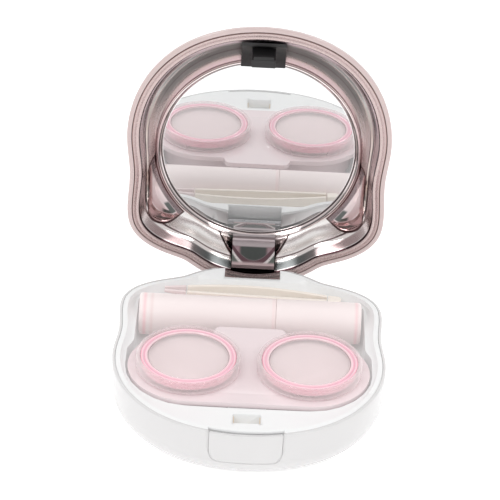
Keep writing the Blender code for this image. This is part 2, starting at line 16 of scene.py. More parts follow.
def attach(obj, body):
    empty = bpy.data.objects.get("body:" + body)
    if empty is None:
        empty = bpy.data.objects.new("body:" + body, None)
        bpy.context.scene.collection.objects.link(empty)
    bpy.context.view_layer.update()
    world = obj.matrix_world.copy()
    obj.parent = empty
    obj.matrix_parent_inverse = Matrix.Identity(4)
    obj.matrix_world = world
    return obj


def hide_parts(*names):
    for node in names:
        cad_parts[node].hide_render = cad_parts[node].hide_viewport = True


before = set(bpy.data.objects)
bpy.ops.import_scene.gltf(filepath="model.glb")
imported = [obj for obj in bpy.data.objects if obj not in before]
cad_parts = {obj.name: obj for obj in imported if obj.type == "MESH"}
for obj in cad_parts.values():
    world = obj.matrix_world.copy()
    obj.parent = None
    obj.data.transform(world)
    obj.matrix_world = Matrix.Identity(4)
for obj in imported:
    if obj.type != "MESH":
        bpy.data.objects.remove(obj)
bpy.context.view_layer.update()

MM = 0.001
GAP = 0.3

# ---- driving dimensions ----
RIM_Z = 14.2                 # height of the base, floor to rim
LID_Z = RIM_Z + GAP          # plane of the lid's rim when shut
LID_RISE = 16.4              # lid shoulder height above its rim
LID_OPEN = 91.0              # degrees that the lid stands open
HINGE_Y, HINGE_Z = 38.8, 9.7
LIP = 1.6                    # shell's outer edge beyond the inner outline
MIRROR_Y, MIRROR_R = 3.8, 28.0
MIRROR_DEPTH = 12.9          # glass face behind the lid's rim plane
SLOT_HALF = 8.0              # hinge slot half width
BUTTON_HALF, BUTTON_LOW = 9.8, 4.9
WELL_X, WELL_Y = 16.6, -10.3
CAP_R = 14.4
RING_IN, RING_OUT = 11.2, 13.05
BOTTLE_Y, BOTTLE_Z, BOTTLE_R = 19.2, 10.9, 5.9
BOTTLE_LEFT, BOTTLE_JOIN, BOTTLE_RIGHT = -31.6, 7.0, 31.2
AWAY, ABOVE = 46, 20         # cutting tools reach this far from the middle, and this high
COARSE, FINE = 16, 48        # points per span of the outline, for most pieces and for the lining
SAMPLES = COARSE

# Guide points of the right half of the plan outline, front to hinge: round bow, slight waist, ear, hinge
# hump.
OUTLINE_GUIDES = [(0, -42), (21.5, -36.5), (34, -22), (37.2, -5), (34, 6.5),
                  (37.3, 24.5), (26.2, 31.4), (18.8, 32.9), (14.5, 37.6), (0, 41.8)]
# Corners of the tray's pocket with their fillet radii, right half, front to back.
POCKET_CORNERS = [(33.9, -27.5, 17.0), (33.9, -2.0, 3.0), (32.2, 3.0, 3.0), (32.2, 25.9, 1.6)]


# ---- plan curves ----
def plan_outline(offset=0.0):
    """The case's outline as a closed uniform cubic B-spline. A positive offset moves it out along its
    normals, a negative one moves it in along spokes from the mirror's centre, so the hump gets no loops."""
    right = np.array(OUTLINE_GUIDES, float)
    guides = np.vstack([right, right[1:-1][::-1] * (-1, 1)])
    count = len(guides)
    points = []
    for span in range(count):
        p0, p1, p2, p3 = (guides[(span + k - 1) % count] for k in range(4))
        for step in range(SAMPLES):
            t = step / SAMPLES
            point = ((1 - t)**3 * p0 + (3 * t**3 - 6 * t**2 + 4) * p1
                     + (-3 * t**3 + 3 * t**2 + 3 * t + 1) * p2 + t**3 * p3) / 6
            slope = (-(1 - t)**2 * p0 + (3 * t**2 - 4 * t) * p1
                     + (-3 * t**2 + 2 * t + 1) * p2 + t**2 * p3) / 2
            outward = np.array((slope[1], -slope[0])) if offset > 0 else point - (0, MIRROR_Y)
            points.append(point + offset * outward / np.linalg.norm(outward))
    return np.array(points)


def circle_like(outline, centre_y, radius):
    """Points of a circle that lie in the same directions from its centre as the outline's points."""
    centre = np.array((0, centre_y))
    spokes = outline - centre
    return centre + radius * spokes / np.linalg.norm(spokes, axis=1)[:, None]


def rounded_polygon(corners, arc_steps=6):
    """A closed polygon whose corners (x, y, radius) are rounded by tangent arcs."""
    points = []
    count = len(corners)
    for index, (x, y, radius) in enumerate(corners):
        here = np.array((x, y), float)
        back = np.array(corners[index - 1][:2]) - here
        ahead = np.array(corners[(index + 1) % count][:2]) - here
        back, ahead = back / np.linalg.norm(back), ahead / np.linalg.norm(ahead)
        half = math.acos(max(-1.0, min(1.0, float(back @ ahead)))) / 2
        bisector = (back + ahead) / np.linalg.norm(back + ahead)
        centre = here + bisector * radius / math.sin(half)
        start = here + back * radius / math.tan(half) - centre
        end = here + ahead * radius / math.tan(half) - centre
        a0, a1 = math.atan2(start[1], start[0]), math.atan2(end[1], end[0])
        turn = (a1 - a0 + math.pi) % (2 * math.pi) - math.pi
        for step in range(arc_steps + 1):
            angle = a0 + turn * step / arc_steps
            points.append(centre + radius * np.array((math.cos(angle), math.sin(angle))))
    return np.array(points)


def pocket_outline(offset=0.0):
    """The pocket for the lens case and the bottle, with one point in the direction of each outline point."""
    corner_points = rounded_polygon(POCKET_CORNERS + [(-x, y, r) for x, y, r in reversed(POCKET_CORNERS)])
    shares = np.linspace(0, 1, 60, endpoint=False)[:, None]
    edge = np.vstack([blend(a, b, shares) for a, b in zip(corner_points, np.roll(corner_points, -1, axis=0))])
    angles = np.arctan2(edge[:, 1], edge[:, 0])
    order = np.argsort(angles)
    radii = np.linalg.norm(edge, axis=1)[order]
    outline = plan_outline()
    wanted = np.arctan2(outline[:, 1], outline[:, 0])
    radius = np.interp(wanted, angles[order], radii, period=2 * math.pi) + offset
    return np.stack([radius * np.cos(wanted), radius * np.sin(wanted)], axis=1)


def level(points, height):
    """Lifts plan points to a height, one number or one per point."""
    heights = np.broadcast_to(height, len(points))
    return np.column_stack([points, heights])


def rim_loop(offset, height):
    return level(plan_outline(offset), height)


def pocket_loop(offset, height):
    return level(pocket_outline(offset), height)


def blend(a, b, share):
    return a + (b - a) * share


# ---- solids ----
SHARP_FROM = 35              # degrees between faces from which an edge is drawn sharp
WELD = 0.004                 # points closer than this become one after a Boolean


def finish_mesh(name, bm, material):
    """Turns a bmesh in millimetres into a named object with its own material."""
    bmesh.ops.recalc_face_normals(bm, faces=bm.faces)
    bmesh.ops.scale(bm, vec=(MM, MM, MM), verts=bm.verts)
    mesh = bpy.data.meshes.new(name)
    bm.to_mesh(mesh)
    bm.free()
    obj = bpy.data.objects.new(name, mesh)
    bpy.context.scene.collection.objects.link(obj)
    if material:
        mesh.materials.append(material)
    mesh.shade_smooth()
    mesh.set_sharp_from_angle(angle=math.radians(SHARP_FROM))
    return obj


def loft(name, loops, material, ring=False, caps=True):
    """A solid through closed loops of equal length. The end loops are capped, or joined if it is a ring."""
    bm = bmesh.new()
    rows = [[bm.verts.new(point) for point in loop] for loop in loops]
    count = len(rows[0])
    pairs = list(zip(rows, rows[1:])) + ([(rows[-1], rows[0])] if ring else [])
    for lower, upper in pairs:
        for k in range(count):
            bm.faces.new((lower[k], lower[(k + 1) % count], upper[(k + 1) % count], upper[k]))
    if caps and not ring:
        bm.faces.new(rows[0])
        bm.faces.new(rows[-1])
    return finish_mesh(name, bm, material)


def turned(name, profile, material, segments=32, place=Matrix()):
    """A solid of revolution about local Z. The closed profile holds (radius, height) pairs."""
    bm = bmesh.new()
    rows = []
    for radius, height in profile:
        if radius == 0:
            rows.append([bm.verts.new((0, 0, height))])
        else:
            angles = [2 * math.pi * k / segments for k in range(segments)]
            rows.append([bm.verts.new((radius * math.cos(a), radius * math.sin(a), height)) for a in angles])
    for lower, upper in zip(rows, rows[1:] + rows[:1]):
        for k in range(segments):
            corners = [lower[k % len(lower)], lower[(k + 1) % len(lower)],
                       upper[(k + 1) % len(upper)], upper[k % len(upper)]]
            distinct = list(dict.fromkeys(corners))
            if len(distinct) > 2:
                bm.faces.new(distinct)
    bmesh.ops.transform(bm, matrix=place, verts=bm.verts)
    return finish_mesh(name, bm, material)


def prism(name, outline, low, high, material=None, place=Matrix()):
    """A plan polygon extruded along local Z from low to high."""
    bm = bmesh.new()
    base = [bm.verts.new((x, y, low)) for x, y in outline]
    top = [bm.verts.new((x, y, high)) for x, y in outline]
    bm.faces.new(base)
    bm.faces.new(top)
    for k in range(len(base)):
        bm.faces.new((base[k], base[(k + 1) % len(base)], top[(k + 1) % len(base)], top[k]))
    bmesh.ops.transform(bm, matrix=place, verts=bm.verts)
    return finish_mesh(name, bm, material)


def block(name, low, high, material=None):
    """An axis-aligned box between two corners."""
    (x0, y0, z0), (x1, y1, z1) = low, high
    return prism(name, [(x0, y0), (x1, y0), (x1, y1), (x0, y1)], z0, z1, material)


def along_x(name, side, half_width, material=None):
    """A (y, z) side view extruded to both sides of the middle plane."""
    axes = Matrix(((0, 0, 1, 0), (1, 0, 0, 0), (0, 1, 0, 0), (0, 0, 0, 1)))
    return prism(name, side, -half_width, half_width, material, axes)


def combine(obj, other, operation):
    """Joins, cuts or intersects obj with a tool object, and removes the tool."""
    modifier = obj.modifiers.new(operation.lower(), 'BOOLEAN')
    modifier.operation = operation
    modifier.solver = 'EXACT'
    modifier.object = other
    bpy.context.view_layer.update()
    result = bpy.data.meshes.new_from_object(obj.evaluated_get(bpy.context.evaluated_depsgraph_get()))
    obj.modifiers.clear()
    bm = bmesh.new()
    bm.from_mesh(result)
    bmesh.ops.remove_doubles(bm, verts=bm.verts, dist=WELD * MM)
    bm.to_mesh(result)
    bm.free()
    used = obj.data
    obj.data = result
    result.name = obj.name
    bpy.data.meshes.remove(used)
    bpy.data.objects.remove(other, do_unlink=True)
    return obj


def cut(obj, *tools):
    for tool in tools:
        combine(obj, tool, 'DIFFERENCE')
    return obj


def add(obj, *tools):
    for tool in tools:
        combine(obj, tool, 'UNION')
    return obj


# ---- materials ----
def linear(*rgb):
    """sRGB 0-255 to linear."""
    return tuple((c / 255 / 12.92) if c <= 10 else ((c / 255 + 0.055) / 1.055) ** 2.4 for c in rgb)


CLOUD_SCALE, CLOUD_DETAIL = 22.0, 4.0            # slow variation of the colour
FINE_SCALE, FINE_DETAIL = 1800.0, 6.0            # relief and roughness
RELIEF = 0.05
DULLEST = 0.35               # roughness that a fully dull tone adds
PURE_WHITE = (1, 1, 1, 1)


def tree(material):
    return material.node_tree.nodes, material.node_tree.links


def put(nodes, kind, **values):
    """Adds a shader node and sets inputs by name."""
    node = nodes.new('ShaderNode' + kind)
    for key, value in values.items():
        node.inputs[key.replace('_', ' ')].default_value = value
    return node


def multiply(nodes, links, first, second):
    """The socket of one colour times another."""
    product = put(nodes, 'Mix', Factor=1.0)
    product.data_type, product.blend_type = 'RGBA', 'MULTIPLY'
    links.new(first, product.inputs[6])
    links.new(second, product.inputs[7])
    return product.outputs[2]


def surface(name, color, roughness, spread=0.02, fine_scale=FINE_SCALE, bump=0.02, rough_spread=0.04,
            field=None, **shader_values):
    """A Principled material whose colour, roughness and fine relief vary with procedural noise. A field is a
    mesh attribute whose colour tints the material, and whose alpha takes its dullness away from 1."""
    material = bpy.data.materials.new(name)
    material.use_nodes = True
    nodes, links = tree(material)
    shader = nodes['Principled BSDF']
    for key, value in shader_values.items():
        shader.inputs[key.replace('_', ' ')].default_value = value
    where = put(nodes, 'TexCoord')
    cloud = put(nodes, 'TexNoise', Scale=CLOUD_SCALE, Detail=CLOUD_DETAIL)
    links.new(where.outputs['Object'], cloud.inputs['Vector'])
    tint = put(nodes, 'ValToRGB')
    darker, lighter = tint.color_ramp.elements
    darker.position, lighter.position = 0.35, 0.65
    darker.color = (*[c * (1 - spread) for c in color], 1)
    lighter.color = (*[min(1.0, c * (1 + spread)) for c in color], 1)
    links.new(cloud.outputs['Fac'], tint.inputs['Fac'])
    fine = put(nodes, 'TexNoise', Scale=fine_scale, Detail=FINE_DETAIL)
    links.new(where.outputs['Object'], fine.inputs['Vector'])
    rough = put(nodes, 'MapRange', To_Min=max(0.0, roughness - rough_spread / 2),
                To_Max=roughness + rough_spread / 2)
    links.new(fine.outputs['Fac'], rough.inputs['Value'])
    color_out, rough_out = tint.outputs['Color'], rough.outputs['Result']
    if field:
        kept = put(nodes, 'Attribute')
        kept.attribute_name = field
        color_out = multiply(nodes, links, color_out, kept.outputs['Color'])
        dulled = put(nodes, 'Math')
        dulled.operation = 'MULTIPLY_ADD'
        dulled.inputs[1].default_value = -DULLEST
        links.new(kept.outputs['Alpha'], dulled.inputs[0])
        links.new(rough_out, dulled.inputs[2])
        rougher = put(nodes, 'Math')
        rougher.operation = 'ADD'
        rougher.inputs[1].default_value = DULLEST
        links.new(dulled.outputs['Value'], rougher.inputs[0])
        rough_out = rougher.outputs['Value']
    links.new(color_out, shader.inputs['Base Color'])
    links.new(rough_out, shader.inputs['Roughness'])
    if bump:
        relief = put(nodes, 'Bump', Strength=bump, Distance=RELIEF * MM)
        links.new(fine.outputs['Fac'], relief.inputs['Height'])
        links.new(relief.outputs['Normal'], shader.inputs['Normal'])
    return material


def see_through(material, face_on, edge_on):
    """Lets light through a thin clear wall: more where it is seen face on, less at a grazing angle."""
    nodes, links = tree(material)
    facing = put(nodes, 'LayerWeight', Blend=0.35)
    opacity = put(nodes, 'MapRange', To_Min=face_on, To_Max=edge_on)
    links.new(facing.outputs['Facing'], opacity.inputs['Value'])
    links.new(opacity.outputs['Result'], nodes['Principled BSDF'].inputs['Alpha'])
    return material


def ring_pink(side, x):
    """Bands of paler and deeper pink from the inside of a cap's ring to its outside."""
    material = surface(side + '_ring_pink', (0.97, 0.97, 0.97), 0.14, 0.01,
                       Coat_Weight=0.5, Coat_Roughness=0.04)
    nodes, links = tree(material)
    where = next(node for node in nodes if node.bl_idname == 'ShaderNodeTexCoord')
    shift = put(nodes, 'VectorMath')
    shift.operation = 'SUBTRACT'
    shift.inputs[1].default_value = (x * MM, WELL_Y * MM, 0)
    links.new(where.outputs['Object'], shift.inputs[0])
    flat = put(nodes, 'VectorMath')
    flat.operation = 'MULTIPLY'
    flat.inputs[1].default_value = (1 / MM, 1 / MM, 0)
    links.new(shift.outputs['Vector'], flat.inputs[0])
    radius = put(nodes, 'VectorMath')
    radius.operation = 'LENGTH'
    links.new(flat.outputs['Vector'], radius.inputs[0])
    share = put(nodes, 'MapRange', From_Min=RING_IN, From_Max=RING_OUT - 0.05)
    links.new(radius.outputs['Value'], share.inputs['Value'])
    ramp = put(nodes, 'ValToRGB')
    stops = ramp.color_ramp.elements
    stops[0].color = (*linear(252, 226, 230), 1)
    stops[1].color = (*linear(250, 180, 198), 1)
    for place, tone in ((0.3, (248, 205, 215)), (0.55, (240, 178, 196)), (0.8, (250, 216, 224))):
        stops.new(place).color = (*linear(*tone), 1)
    links.new(share.outputs['Result'], ramp.inputs['Fac'])
    links.new(ramp.outputs['Color'], nodes['Principled BSDF'].inputs['Base Color'])
    return material


def end_bands(material, bands):
    """Adds faint pink bands across X, painted where light passes through a doubled translucent wall, at given
    places in mm.
    """
    length = BOTTLE_RIGHT - BOTTLE_LEFT
    fade = 0.012                 # a band's half width, as a share of the length
    nodes, links = tree(material)
    shader = nodes['Principled BSDF']
    base = shader.inputs['Base Color'].links[0].from_socket
    where = next(node for node in nodes if node.bl_idname == 'ShaderNodeTexCoord')
    split = put(nodes, 'SeparateXYZ')
    links.new(where.outputs['Object'], split.inputs['Vector'])
    run = put(nodes, 'MapRange', From_Min=BOTTLE_LEFT * MM, From_Max=BOTTLE_RIGHT * MM)
    links.new(split.outputs['X'], run.inputs['Value'])
    ramp = put(nodes, 'ValToRGB')
    stops = ramp.color_ramp.elements
    stops[0].color = stops[1].color = PURE_WHITE
    for place, tone in bands:
        share = (place - BOTTLE_LEFT) / length
        stops.new(share - fade).color = PURE_WHITE
        stops.new(share).color = (*linear(*tone), 1)
        stops.new(share + fade).color = PURE_WHITE
    links.new(run.outputs['Result'], ramp.inputs['Fac'])
    links.new(multiply(nodes, links, base, ramp.outputs['Color']), shader.inputs['Base Color'])
    return material


WHITE = surface('white_gloss', linear(212, 211, 211), 0.22, 0.008, Coat_Weight=0.3, Coat_Roughness=0.08)
# The tray glows a little: painted light that lifts the shade in the gaps round the lens case and in the latch
# well.
TRAY = surface('tray_white', linear(226, 227, 227), 0.32, 0.008,
               Emission_Color=PURE_WHITE, Emission_Strength=0.11)
PEARL = surface('pearl_pink', linear(200, 181, 179), 0.2, 0.02, Coat_Weight=0.6, Coat_Roughness=0.05)
# The lining and the hinge take painted reflections and shade from their 'tone' attribute.
PLATED = surface('plated_lining', (0.98, 0.98, 0.98), 0.1, 0.015, bump=0.0, rough_spread=0.03, field='tone',
                 Metallic=1.0)
BLACK = surface('black_gloss', linear(30, 29, 30), 0.42, 0.08)
# The mirror glows a little: painted light that brightens its reflection.
MIRROR = surface('mirror_silver_glow', linear(230, 231, 231), 0.015, 0.005, bump=0.0, rough_spread=0.006,
                 Metallic=1.0, Emission_Color=PURE_WHITE, Emission_Strength=0.06)
FOAM = surface('foam', linear(60, 58, 58), 0.9, 0.15, 600.0, 0.6)
STEEL = surface('steel', linear(190, 190, 192), 0.28, 0.04, Metallic=1.0)
PINK = surface('pink_plastic', linear(247, 196, 208), 0.15, 0.02, Coat_Weight=0.4, Coat_Roughness=0.04)
CLEAR = see_through(surface('clear_plastic', linear(252, 240, 241), 0.06, 0.01, bump=0.0, rough_spread=0.03,
                            Coat_Weight=0.6, Coat_Roughness=0.03), 0.22, 0.75)
# The lens case glows faintly pink: painted light that brightens its plate between the caps.
CASE = surface('case_pink', linear(236, 222, 224), 0.15, 0.01, Coat_Weight=0.4, Coat_Roughness=0.05,
               Emission_Color=(1.0, 0.93, 0.94, 1), Emission_Strength=0.02)
# The bottle glows faintly pink: painted light that lifts the shade on its lower side.
FROST = end_bands(surface('frosted_pink', linear(236, 225, 224), 0.42, 0.01,
                          Emission_Color=(1.0, 0.9, 0.89, 1), Emission_Strength=0.1),
                  ((BOTTLE_LEFT + 1.6, (255, 228, 232)), (BOTTLE_LEFT + 3.6, (248, 240, 240)),
                   (BOTTLE_RIGHT - 1.4, (255, 234, 237)), (BOTTLE_JOIN - 0.6, (255, 246, 246))))
CREAM = surface('warm_cream', linear(226, 205, 178), 0.5, 0.02)
SOFT = surface('soft_silicone', linear(240, 226, 226), 0.5, 0.02)
IVORY = surface('ivory', linear(248, 240, 231), 0.3, 0.015, Coat_Weight=0.2, Coat_Roughness=0.1)


def dress(obj, body, slot, *nodes):
    """Rides a piece on a body and lets it stand for CAD nodes. The slot argument is not used."""
    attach(obj, body)
    if nodes:
        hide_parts(*nodes)
    return obj


def soften(obj, width):
    """Rounds the sharp edges of a finished piece."""
    bevel = obj.modifiers.new('round', 'BEVEL')
    bevel.width = width * MM
    bevel.segments = 3
    bevel.limit_method = 'ANGLE'
    bevel.angle_limit = math.radians(40)
    bevel.harden_normals = False
    return obj


# ---- base ----
LEDGE_Z = 12.8                                   # the step in the shell that carries the tray
FLANGE = 1.1                                     # thickness of the tray's rim
TRAY_WALL = 1.2
TRAY_FLOOR = 3.3
SHELF_Z = 10.4
SHELF_BACK = 35.0                                # where the rear shelf ends
CORNER_OUT, CORNER_UP = 5.5, 6.5                 # the rounded lower edge
RIM_ROUND = 0.5
HOUSING_HALF = 12.0                              # hinge housing half width
HOUSING_FRONT = 36.4
SLOT_FRONT = 35.9
BORE_R = 1.1                                     # round the hinge pin
BUTTON_GAP = 0.07                                # between the button and its notch


def base_outer_loops():
    """Outside of the base: flat underside, rounded lower edge, near vertical wall and a soft rim."""
    loops = []
    for turn in range(0, 91, 9):
        angle = math.radians(turn)
        loops.append(rim_loop(LIP - CORNER_OUT * (1 - math.sin(angle)), CORNER_UP * (1 - math.cos(angle))))
    loops.append(rim_loop(LIP, 10.0))
    for turn in range(0, 91, 15):
        angle = math.radians(turn)
        loops.append(rim_loop(LIP - RIM_ROUND + RIM_ROUND * math.cos(angle),
                              RIM_Z - RIM_ROUND + RIM_ROUND * math.sin(angle)))
    return loops


def on_hinge(name, profile, segments=24):
    """A solid of revolution about the hinge pin's axis."""
    place = Matrix.Translation((0, HINGE_Y, HINGE_Z)) @ Matrix.Rotation(math.radians(90), 4, 'Y')
    return turned(name, profile, None, segments, place)


def rod(name, radius, half, segments=24):
    return on_hinge(name, [(0, -half), (radius, -half), (radius, half), (0, half)], segments)


def button_prism(name, grow, front, back, top=RIM_Z + 3):
    """The button's front view, extruded through the wall."""
    half, low = BUTTON_HALF + grow, BUTTON_LOW - grow
    view = rounded_polygon([(-half, top, 0.2), (-half, low, 3.0), (half, low, 3.0), (half, top, 0.2)], 8)
    return prism(name, view, -back, -front, None, Matrix.Rotation(math.radians(90), 4, 'X'))


def make_base_shell():
    inner = [rim_loop(0.76, RIM_Z), rim_loop(0.76, LEDGE_Z),
             rim_loop(0.1, LEDGE_Z), rim_loop(0.1, 6.5),
             rim_loop(-2.0, 2.8), rim_loop(-4.6, 1.5)]
    shell = loft('case_base', base_outer_loops() + inner, WHITE)
    side = [(HOUSING_FRONT, 1.0), (45, 1.0), (45, 12.4), (37.8, 12.2), (HOUSING_FRONT, 10.9)]
    housing = along_x('housing', side, HOUSING_HALF)
    combine(housing, loft('body', base_outer_loops(), WHITE), 'INTERSECT')
    slot = block('slot', (-SLOT_HALF, SLOT_FRONT, 6.6), (SLOT_HALF, AWAY, ABOVE))
    bore = rod('bore', BORE_R, HOUSING_HALF + 0.6)
    notch = button_prism('notch', BUTTON_GAP, -AWAY, -37.6)
    # room for the lid's rim, which swings round the pin behind the housing
    swing = block('swing', (-18, HINGE_Y, HINGE_Z + 1), (18, AWAY, ABOVE))
    cut(swing, rod('roller', 4.45, 20, 96))
    return cut(add(shell, housing), slot, bore, notch, swing)


def dish_loops(drop=0.0, shares=(0.0, 0.08, 0.18, 0.3, 0.42, 0.55, 0.66, 0.78, 0.87, 0.93, 0.97)):
    """The tray's top from the pocket's edge out to the rim: a shallow dish in front, a shelf at the rear."""
    band = plan_outline(-0.7)
    band *= np.minimum(1.0, SHELF_BACK / np.maximum(band[:, 1], 1.0))[:, None]
    edge = pocket_outline()
    run = np.linalg.norm(band - edge, axis=1)
    side = np.clip((edge[:, 1] + 24) / 20, 0, 1)
    rear = np.clip((edge[:, 1] - 10) / 14, 0, 1)
    front_fall = blend(1.4, 2.6, side) * (1 - np.exp(-run / 3.0))
    fall = blend(front_fall, (RIM_Z - SHELF_Z) * (1 - np.exp(-run / 0.9)), rear)
    loops = []
    for share in shares:
        rise = blend(share ** 1.6, share ** 7, rear)
        loops.append(level(blend(edge, band, share), RIM_Z - fall * (1 - rise) - drop))
    return loops


def make_base_tray():
    pocket_wall = pocket_outline(TRAY_WALL)
    flange_low = RIM_Z - FLANGE
    under = dish_loops(TRAY_WALL, (0.0, 0.3, 0.55))
    under_edge = np.column_stack([pocket_wall, np.minimum(under[0][:, 2], flange_low - 0.5)])
    foot = 3.0                   # radius where the pocket's wall meets its floor
    top = [pocket_loop(-foot - 0.5, TRAY_FLOOR)]
    for turn in (25, 50, 75):
        angle = math.radians(turn)
        top.append(pocket_loop(-foot * (1 - math.sin(angle)), TRAY_FLOOR + foot * (1 - math.cos(angle))))
    top += dish_loops()
    top += [rim_loop(-0.7, RIM_Z), rim_loop(0.6, RIM_Z),
            rim_loop(0.66, RIM_Z - 0.08), rim_loop(0.66, flange_low)]
    bottom = [rim_loop(-0.9, flange_low)]
    bottom += [np.column_stack([blend(pocket_wall, plan_outline(-0.9), share),
                                np.minimum(loop[:, 2], flange_low - 0.2)])
               for share, loop in zip((0.66, 0.33), (under[2], under[1]))]
    bottom += [under_edge, level(pocket_wall, TRAY_FLOOR + 2.8), pocket_loop(-0.4, TRAY_FLOOR + 0.2),
               pocket_loop(-2.8, TRAY_FLOOR - TRAY_WALL)]
    tray = loft('case_tray', top + bottom, TRAY)
    well = along_x('well', [(-36.2, 5.6), (-29.5, 5.6), (-29.5, 12.5), (-36.2, 12.9)], 4.7)
    well_hole = block('well_hole', (-3.7, -35.3, 6.6), (3.7, -30.5, 20))
    window = block('window', (-3.6, -38, 6.9), (3.6, -34, 9.4))
    hinge_slot = block('hinge_slot', (-SLOT_HALF, SLOT_FRONT, 5), (SLOT_HALF, AWAY, ABOVE))
    housing_room = block('housing_room', (-HOUSING_HALF - GAP, HOUSING_FRONT - GAP, 1),
                         (HOUSING_HALF + GAP, AWAY, 12.8))
    # two ribs that the bottle lies on
    ribs = [block('rib', (x - 1, BOTTLE_Y - 2.5, TRAY_FLOOR - 0.6), (x + 1, BOTTLE_Y + 2.5, 4.7))
            for x in (-20, 20)]
    half = BUTTON_HALF + GAP
    button_room = block('button_room', (-half, -AWAY, 10), (half, -30, ABOVE))
    cut(button_room, prism('kept', plan_outline(-GAP), 0, 30))
    return cut(add(tray, well, *ribs), well_hole, window, hinge_slot, housing_room, button_room)


def make_button():
    body = loft('push_button', base_outer_loops(), WHITE)
    combine(body, button_prism('face', 0.0, -AWAY, -34, RIM_Z - 0.2), 'INTERSECT')
    return cut(body, prism('hollow', plan_outline(-0.4), -5, 12.4),
               prism('lip_back', plan_outline(0.75), 12.0, ABOVE))


dress(make_base_shell(), 'base', 'white_gloss', 'base_shell')
dress(make_base_tray(), 'base', 'tray_white', 'base_tray')
dress(make_button(), 'button', 'white_gloss', 'release_button')


# ---- lid, drawn shut ----
CROWN_R = 30.5
SHELL_WALL = 1.3
FLANGE_IN = 2.2
SEAT_R = 29.3
BEZEL_Z = LID_Z + MIRROR_DEPTH - 0.9
STRAP_HALF = 6.3             # half width of the plates across the channel
LID_TURN = (Matrix.Translation((0, HINGE_Y * MM, HINGE_Z * MM))
            @ Matrix.Rotation(-math.radians(LID_OPEN), 4, 'X')
            @ Matrix.Translation((0, -HINGE_Y * MM, -HINGE_Z * MM)))


def open_lid(obj):
    obj.data.transform(LID_TURN)
    return obj


def round_loop(radius, height):
    return level(circle_like(plan_outline(), MIRROR_Y, radius), height)


def shell_skin(inset, steps=18):
    """A quarter-round sweep from the lid's rim to the edge of its crown, moved in by the inset."""
    loops = []
    for step in range(steps + 1):
        share = step / steps
        angle = share * math.pi / 2
        aside, down = inset * math.cos(angle), inset * math.sin(angle)
        rim, crown = plan_outline(1.45 - aside), circle_like(plan_outline(), MIRROR_Y, CROWN_R - aside)
        loops.append(level(blend(rim, crown, share), LID_Z + 1.0 - down + (LID_RISE - 1.0) * math.sin(angle)))
    return loops


def make_lid_shell():
    outer = [rim_loop(1.0, LID_Z), rim_loop(1.25, LID_Z + 0.08),
             rim_loop(1.42, LID_Z + 0.3)] + shell_skin(0)
    outer += [round_loop(radius, LID_Z + LID_RISE + 0.8 * (1 - (radius / CROWN_R) ** 2))
              for radius in (29, 27, 24, 20, 15, 10, 5, 1)]
    inner = [round_loop(1, LID_Z + LID_RISE - 0.5), round_loop(24.0, LID_Z + LID_RISE - 0.9)]
    inner += shell_skin(SHELL_WALL)[::-1] + [rim_loop(0.15, LID_Z)]
    return loft('lid_cover', outer[::-1] + inner[::-1], PEARL)


def smooth(edge0, edge1, value):
    t = np.clip((value - edge0) / (edge1 - edge0), 0, 1)
    return t * t * (3 - 2 * t)


RECESS_LOW, RECESS_LOW_R = (24.6, 19.3), 7.0     # corner recess: a rounded cone between two circles
RECESS_HIGH, RECESS_HIGH_R = (28.4, 9.6), 3.1
SCALLOP_Y, SCALLOP_R = 25.95, 11.65              # scallop round the hinge plate
RECESS_DEPTH = 10.0


def recess_distance(x, y):
    """Distance outside a corner recess in the lid's plan, negative inside it, in mm."""
    x = np.abs(x)
    low, high = np.array(RECESS_LOW), np.array(RECESS_HIGH)
    axis = high - low
    along = np.clip(((x - low[0]) * axis[0] + (y - low[1]) * axis[1]) / (axis @ axis), 0, 1)
    rounded = np.hypot(x - low[0] - along * axis[0], y - low[1] - along * axis[1])
    rounded = rounded - blend(RECESS_LOW_R, RECESS_HIGH_R, along)
    return np.maximum(rounded, 30.0 - np.hypot(x, y - MIRROR_Y))


def scallop_distance(x, y):
    return np.hypot(x, y - SCALLOP_Y) - SCALLOP_R


def between(low, high, value, soft=0.03):
    """1 inside an interval and 0 outside it, with soft ends."""
    return smooth(low - soft, low + soft, value) * (1 - smooth(high - soft, high + soft, value))


def with_painted_light(obj, painted_light):
    """Keeps painted reflections and shade as a linear colour and a dullness for every vertex, read by the
    plated material.
    """
    field = obj.data.attributes.new('tone', 'FLOAT_COLOR', 'POINT')
    colors = np.column_stack([painted_light.value, 1 - painted_light.dull])
    field.data.foreach_set('color', colors.astype(np.float32).ravel())
    return obj


class PaintedLight:
    """Painted reflections and shade over a piece, laid on one after another with a weight per vertex."""

    def __init__(self, count, *rgb):
        self.value = np.tile(np.array(linear(*rgb)), (count, 1))
        self.dull = np.zeros(count)

    def lay(self, weight, *rgb, dull=0.0):
        weight = np.clip(weight, 0, 1)
        self.value = blend(self.value, np.array(linear(*rgb)), weight[:, None])
        self.dull = blend(self.dull, dull, weight)


